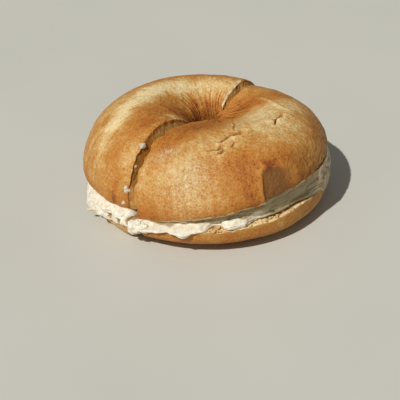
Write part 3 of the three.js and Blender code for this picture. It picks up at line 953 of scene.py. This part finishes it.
def lumps_piece(name, lumps, material, slot, channels, **values):
    """One piece of many lumps, each given by centre, radii, seed, roughness and detail."""
    points, faces, count = [], [], 0
    for each in lumps:
        p, f = lump(*each)
        points.append(p)
        faces += [[v + count for v in face] for face in f]
        count += len(p)
    mesh = bpy.data.meshes.new(name)
    mesh.from_pydata((np.concatenate(points) * MM).tolist(), [], faces)
    for channel in channels:
        set_channel(mesh, channel, np.full(count, values.get(channel, 0.0), np.float32))
    mesh.polygons.foreach_set("use_smooth", [True] * len(mesh.polygons))
    on_root(add_object(name, mesh, material), None)


def low_place(side, azimuth, r, z):
    """A place over the bottom half's own axis, in the row frame, mm."""
    x, y = polar([(azimuth, r)])[0] + CUT_NORMAL * SEATS[side]["low_shift"]
    return (x + HOLE_AXIS[0], y + HOLE_AXIS[1], z)


def top_place(side, azimuth, r, z):
    """A place in a top half's own coordinates, in the row frame, mm."""
    x, y, z = seated(np.array([*polar([(azimuth, r)])[0], z]), side)
    return (x + HOLE_AXIS[0], y + HOLE_AXIS[1], z)


# ---- materials
class Nodes:
    """A material's node tree, with one call to add a node and join its inputs."""

    def __init__(self, name):
        self.material = bpy.data.materials.new(name)
        self.material.use_nodes = True
        self.tree = self.material.node_tree
        self.tree.nodes.clear()

    def add(self, kind, inputs=None, **settings):
        node = self.tree.nodes.new("ShaderNode" + kind)
        for key, value in settings.items():
            setattr(node, key, value)
        for key, value in (inputs or {}).items():
            if isinstance(value, bpy.types.NodeSocket):
                self.tree.links.new(value, node.inputs[key])
            else:
                node.inputs[key].default_value = value
        return node

    def attribute(self, name):
        return self.add("Attribute", attribute_name=name).outputs["Fac"]

    def where(self):
        return self.add("TexCoord").outputs["Object"]

    def noise(self, scale, detail=3.0, roughness=0.55):
        inputs = {"Vector": self.where(), "Scale": scale, "Detail": detail, "Roughness": roughness}
        return self.add("TexNoise", inputs).outputs["Fac"]

    def net(self, scale):
        """Distance to the nearest line of a fine, uneven net."""
        bend = self.add("TexNoise", {"Vector": self.where(), "Scale": scale * 0.7, "Detail": 2.0})
        a_little = (1.6 / scale,) * 3
        bent = self.add("VectorMath", {0: bend.outputs["Color"], 1: a_little}, operation="MULTIPLY")
        moved = self.add("VectorMath", {0: self.where(), 1: bent.outputs[0]}, operation="ADD")
        inputs = {"Vector": moved.outputs[0], "Scale": scale}
        return self.add("TexVoronoi", inputs, feature="DISTANCE_TO_EDGE").outputs["Distance"]

    def math(self, how, a, b, c=0.0):
        return self.add("Math", {0: a, 1: b, 2: c}, operation=how).outputs[0]

    def around_zero(self, value, size):
        """A 0 to 1 value turned to run from -size/2 to size/2."""
        return self.math("MULTIPLY_ADD", value, size, -size / 2)

    def ramp(self, value, stops):
        node = self.add("ValToRGB", {"Fac": value})
        elements = node.color_ramp.elements
        while len(elements) > 1:
            elements.remove(elements[-1])
        elements[0].position = stops[0][0]
        elements[0].color = (*stops[0][1], 1)
        for position, colour in stops[1:]:
            elements.new(position).color = (*colour, 1)
        return node.outputs["Color"]

    def mix(self, share, a, b):
        return self.add("Mix", {0: share, 6: a, 7: b}, data_type="RGBA").outputs[2]

    def bump(self, height, distance, strength):
        inputs = {"Height": height, "Distance": distance, "Strength": strength}
        return self.add("Bump", inputs).outputs["Normal"]

    def finish(self, inputs):
        """Gives the material a principled shader with these inputs."""
        shader = self.add("BsdfPrincipled", inputs)
        self.add("OutputMaterial", {"Surface": shader.outputs[0]})
        return self.material


# colours by level, from pale to dark
CRUST_COLOURS = [
    (0.05, (0.90, 0.70, 0.37)), (0.28, (0.70, 0.45, 0.17)), (0.50, (0.56, 0.245, 0.045)),
    (0.72, (0.47, 0.155, 0.020)), (0.95, (0.24, 0.065, 0.010)),
]
CRUMB_COLOURS = [(0.2, (0.86, 0.68, 0.38)), (0.5, (0.62, 0.35, 0.10)), (0.95, (0.36, 0.14, 0.016))]
PAINTED_SHADE_COLOUR, GLINT_COLOUR = (0.16, 0.07, 0.02, 1), (0.96, 0.76, 0.58, 1)
CHEESE_COLOURS = [(0.34, (0.72, 0.62, 0.45)), (0.56, (0.86, 0.79, 0.65))]
SMEAR_AND_SHADE_COLOURS = [(0.3, (0.34, 0.26, 0.125)), (0.7, (0.44, 0.35, 0.19))]
CRUMBY_COLOURS = [(0.35, (0.36, 0.24, 0.11)), (0.65, (0.66, 0.52, 0.34))]
HOLLOW_SHADE_COLOUR = (0.36, 0.22, 0.07, 1)
FLOOR_COLOURS = [(0.3, (0.58, 0.575, 0.51)), (0.7, (0.61, 0.60, 0.535))]
NET_SCALE = 640.0  # cells of the fine net in the crust to a metre


def crust_material(name):
    n = Nodes(name)
    mottle = n.around_zero(n.noise(330.0, 4.0, 0.6), 0.22)
    speck = n.around_zero(n.noise(1300.0, 3.0, 0.7), 0.56)
    lines = n.math("MULTIPLY_ADD", n.net(NET_SCALE), 0.40, -0.05)
    level = n.math("ADD", n.math("ADD", n.attribute("bake"), mottle), n.math("ADD", speck, lines))
    crust = n.ramp(level, CRUST_COLOURS)
    crumb_level = n.math("ADD", n.attribute("bake"), n.around_zero(n.noise(700.0, 4.0, 0.65), 0.5))
    colour = n.mix(n.attribute("cut"), crust, n.ramp(crumb_level, CRUMB_COLOURS))
    # painted shade: the dark channel turns the flattened patch and the deepest tears towards a dark brown
    colour = n.mix(n.math("MULTIPLY", n.attribute("dark"), 0.76), colour, PAINTED_SHADE_COLOUR)
    # painted glints: pale pink specks in the shining zone stand in for small highlights
    glint = n.ramp(n.noise(1500.0, 2.0, 0.6), [(0.51, (0, 0, 0)), (0.64, (1, 1, 1))])
    glint = n.math("MULTIPLY", n.math("MULTIPLY", n.attribute("gloss"), glint), 0.75)
    fine = n.math("ADD", n.noise(900.0, 4.0, 0.6), n.noise(2400.0, 2.0, 0.6))
    height = n.math("MULTIPLY_ADD", n.net(NET_SCALE), -0.9, fine)
    relief = n.math("MULTIPLY_ADD", n.attribute("gloss"), 0.00022, 0.00034)
    return n.finish({
        "Base Color": n.mix(glint, colour, GLINT_COLOUR),
        "Roughness": n.math("MULTIPLY_ADD", n.attribute("gloss"), -0.24, 0.52),
        "Normal": n.bump(height, relief, 1.0),
        "Specular IOR Level": 0.3,
    })


def cheese_material():
    n = Nodes("cream_cheese")
    white = n.ramp(n.noise(420.0, 4.0), CHEESE_COLOURS)
    # the olive colour is partly a thin spread and partly painted shade, beside and under the top and in
    # creases
    smear = n.ramp(n.noise(300.0, 4.0), SMEAR_AND_SHADE_COLOURS)
    crumb = n.ramp(n.noise(600.0, 4.0), CRUMBY_COLOURS)
    colour = n.mix(n.attribute("smear"), white, smear)
    colour = n.mix(n.attribute("crumb"), colour, crumb)
    height = n.math("ADD", n.noise(700.0, 5.0, 0.6), n.noise(2200.0, 2.0))
    return n.finish({
        # painted shade: the hollows are coloured dark olive-brown
        "Base Color": n.mix(n.attribute("hollow"), colour, HOLLOW_SHADE_COLOUR),
        "Normal": n.bump(height, 0.0002, 0.6), "Roughness": 0.42,
        "Subsurface Weight": 0.2, "Subsurface Radius": (0.004, 0.003, 0.002), "Subsurface Scale": 1.0,
    })


def floor_material():
    n = Nodes("pale_floor")
    return n.finish({"Base Color": n.ramp(n.noise(8.0, 2.0), FLOOR_COLOURS), "Roughness": 0.55})


# ---- build
top_crust = crust_material("top_crust")
bottom_crust = crust_material("bottom_crust")
cheese = cheese_material()
for side in (1, -1):
    top_half(side, top_crust)
    bottom_half(side, bottom_crust)
    cheese_half(side, cheese)

# loose bits of cheese: place, radii, seed, roughness and detail
CHEESE_BITS = [
    (low_place(-1, -131.3, 62.8, 8.4), (3.4, 2.6, 2.6), 401, 0.45, 5),
    (low_place(-1, -129.6, 62.0, 10.0), (2.2, 2.0, 1.9), 402, 0.5, 5),
    (low_place(1, -127.2, 63.2, 9.6), (2.0, 1.7, 1.8), 403, 0.5, 5),
]
SMALL_BITS = [
    (top_place(-1, -129.0, 46.7, 23.1), (1.5, 2.1, 0.9), 404, 0.45, 4),
    (top_place(-1, -128.4, 53.2, 16.6), (0.7, 0.9, 0.7), 405, 0.4, 4),
    (top_place(-1, -129.4, 59.6, 8.3), (1.5, 1.2, 1.9), 406, 0.5, 5),
    (top_place(-1, -130.4, 61.4, 3.0), (1.2, 0.8, 0.8), 407, 0.4, 4),
    (low_place(-1, -157.0, 66.6, 5.4), (1.7, 0.8, 0.7), 409, 0.4, 4),
]
lumps_piece("cheese_bits", CHEESE_BITS, cheese, "cream_cheese", CHEESE_CHANNELS)
lumps_piece("small_bits", SMALL_BITS, cheese, "cream_cheese", CHEESE_CHANNELS, smear=0.4)

CRUMB_COUNT, LEFT_CRUMBS = 64, 26
chance = np.random.default_rng(7)
crumbs = []
for k in range(CRUMB_COUNT):
    turn = chance.uniform(-102, -95) if k < LEFT_CRUMBS else chance.uniform(-86, -62)
    edge = reach(math.radians(turn), LOW_RINGS[1])
    x, y, _ = low_place(1, turn, edge - chance.uniform(0.4, 4.4), 0.0)
    level = rim_height(x - HOLE_AXIS[0], y - HOLE_AXIS[1]) + 0.1
    size = chance.uniform(0.3, 0.75)
    crumbs.append(((x, y, level + 0.4 * size), (size, size * 0.8, size * 0.7), 500 + k, 0.6, 2))
lumps_piece("crumbs", crumbs, bottom_crust, "bottom_crust", CRUST_CHANNELS, bake=0.42, cut=1.0)

# ---- floor, light and camera
HALF_FLOOR = 2.0
floor_mesh = bpy.data.meshes.new("floor")
floor_corners = [(x * HALF_FLOOR, y * HALF_FLOOR, 0) for x, y in ((-1, -1), (1, -1), (1, 1), (-1, 1))]
floor_mesh.from_pydata(floor_corners, [], [(0, 1, 2, 3)])
floor = add_object("floor", floor_mesh, floor_material())
floor.location.z = -0.0001
floor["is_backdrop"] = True

SUN_AZIMUTH, SUN_HEIGHT = math.radians(231.0), math.radians(51.0)
SUN_STRENGTH, SKY_STRENGTH = 3.15, 0.18
sun_data = bpy.data.lights.new("sun", "SUN")
sun_data.energy = SUN_STRENGTH
sun_data.angle = math.radians(1.2)
sun_data.color = (1.0, 0.985, 0.955)
sun = add_object("sun", sun_data)
to_sun = Vector((
    math.cos(SUN_AZIMUTH) * math.cos(SUN_HEIGHT),
    math.sin(SUN_AZIMUTH) * math.cos(SUN_HEIGHT),
    math.sin(SUN_HEIGHT),
))
sun.rotation_euler = to_sun.to_track_quat("Z", "Y").to_euler()
sun.location = to_sun

world = bpy.data.worlds.new("sky")
world.use_nodes = True
background = world.node_tree.nodes["Background"]
background.inputs["Color"].default_value = (0.98, 0.99, 1.0, 1)
background.inputs["Strength"].default_value = SKY_STRENGTH
bpy.context.scene.world = world
bpy.context.scene.view_settings.view_transform = "Standard"

LENS_TARGET = Vector((-3.65, -9.35, 0.0)) * MM
VIEW_HEIGHT, VIEW_ROLL = math.radians(31.16), math.radians(-3.95)
CAMERA_DISTANCE, LENS = 0.440, 88.4
camera_data = bpy.data.cameras.new("camera")
camera_data.lens = LENS
camera_data.sensor_width = 36.0
camera_data.clip_start = 0.01
camera = add_object("camera", camera_data)
back = Vector((0, -math.cos(VIEW_HEIGHT), math.sin(VIEW_HEIGHT)))
right = Vector((1, 0, 0))
up = back.cross(right)
turned_right = right * math.cos(VIEW_ROLL) + up * math.sin(VIEW_ROLL)
turned_up = -right * math.sin(VIEW_ROLL) + up * math.cos(VIEW_ROLL)
facing = Matrix((turned_right, turned_up, back)).transposed().to_4x4()
camera.matrix_world = Matrix.Translation(LENS_TARGET + back * CAMERA_DISTANCE) @ facing
bpy.context.scene.camera = camera

corners = {"cad": CAD_BOX, "visual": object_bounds()}
{name: [[float(v) for v in corner] for corner in box] for name, box in corners.items()}
